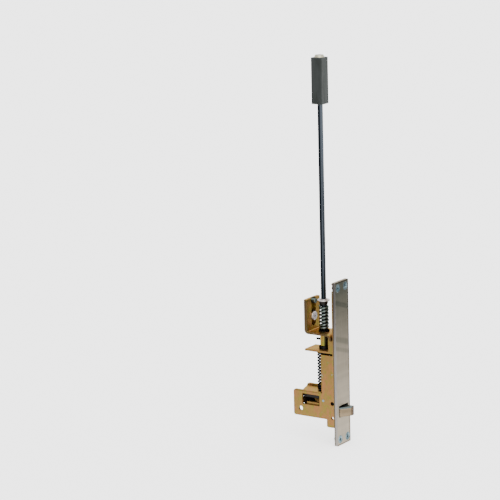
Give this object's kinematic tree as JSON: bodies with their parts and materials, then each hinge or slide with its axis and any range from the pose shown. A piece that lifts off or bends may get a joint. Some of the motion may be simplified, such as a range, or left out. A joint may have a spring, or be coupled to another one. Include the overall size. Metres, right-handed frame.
{
  "type": "automatic flush bolt",
  "caption": "Automatic flush bolt: faceplate with bevelled trigger, folded sheet case, bell crank, sprung push sleeve and a long rod with a square bolt head.",
  "frame": {"origin": "centre of the faceplate on its back face, between its four screws", "axes": "+Z along the rod to the bolt's end, +Y into the door edge, +X to the right of someone who looks at the faceplate"},
  "size_m": [0.0254, 0.0619, 0.4001],
  "materials": {
    "brushed_steel": "satin brushed along its length",
    "zinc_screw": "bright blue zinc",
    "yellow_zinc": "yellow zinc plate with a faint rainbow tint",
    "zinc": "clear zinc plate",
    "grey_zinc": "dull grey-green zinc plate",
    "black_steel": "oiled black",
    "dark_steel": "dull dark steel",
    "dark_rod": "dark zinc plate",
    "dark_head": "dark satin coat",
    "pale_tip": "pale dull metal",
    "trigger_metal": "satin"
  },
  "bodies": {
    "case": {"faceplate": "brushed_steel", "faceplate_screws": "zinc_screw", "near_side_plate": "yellow_zinc", "far_side_plate": "yellow_zinc", "guide_bracket": "yellow_zinc", "guide_rivets": "zinc", "trigger_guide_rivet": "zinc_screw", "crank_pivot": "dark_steel", "crank_ring": "black_steel", "return_spring": "black_steel"},
    "slide": {"slide_bracket": "yellow_zinc", "clamp_plate": "yellow_zinc", "clamp_screw": "zinc", "clamp_nut": "zinc", "guide_stud": "grey_zinc", "push_sleeve": "yellow_zinc", "stop_ring": "black_steel", "cross_pin": "black_steel", "seat_washer": "black_steel", "seat_ring": "black_steel", "override_seat": "black_steel", "override_spring": "grey_zinc"},
    "bolt": {"rod": "dark_rod", "spring_collar": "dark_steel", "collar_washer": "zinc", "collar_clip": "zinc", "bolt_head": "dark_head", "bolt_tip": "pale_tip"},
    "trigger": {"trigger_block": "trigger_metal", "trigger_tail": "dark_steel", "trigger_rivets": "zinc"},
    "crank": {"bell_crank": "black_steel", "crank_pin": "dark_steel"}
  },
  "joints": [
    {"name": "slide_lift", "type": "slide", "parent": "case", "child": "slide", "axis": [0, 0, 1], "range_m": [0, 0.019], "stiffness_N_per_m": 300, "springref_m": -0.02, "deforming": ["return_spring"]},
    {"name": "rod_override", "type": "slide", "parent": "slide", "child": "bolt", "axis": [0, 0, 1], "range_m": [-0.019, 0], "stiffness_N_per_m": 800, "springref_m": 0.01, "deforming": ["override_spring"]},
    {"name": "trigger_press", "type": "slide", "parent": "case", "child": "trigger", "axis": [0, 1, 0], "range_m": [0, 0.0064]},
    {"name": "crank_swing", "type": "hinge", "parent": "case", "child": "crank", "pos_m": [0, 0.0407, -0.0445], "axis": [1, 0, 0], "range_deg": [-47.7, 0]}
  ],
  "couplings": [
    {"joint": "trigger_press", "follows": "slide_lift", "ratio": 0.33684},
    {"joint": "crank_swing", "follows": "slide_lift", "rad_per_m": -43.808}
  ]
}
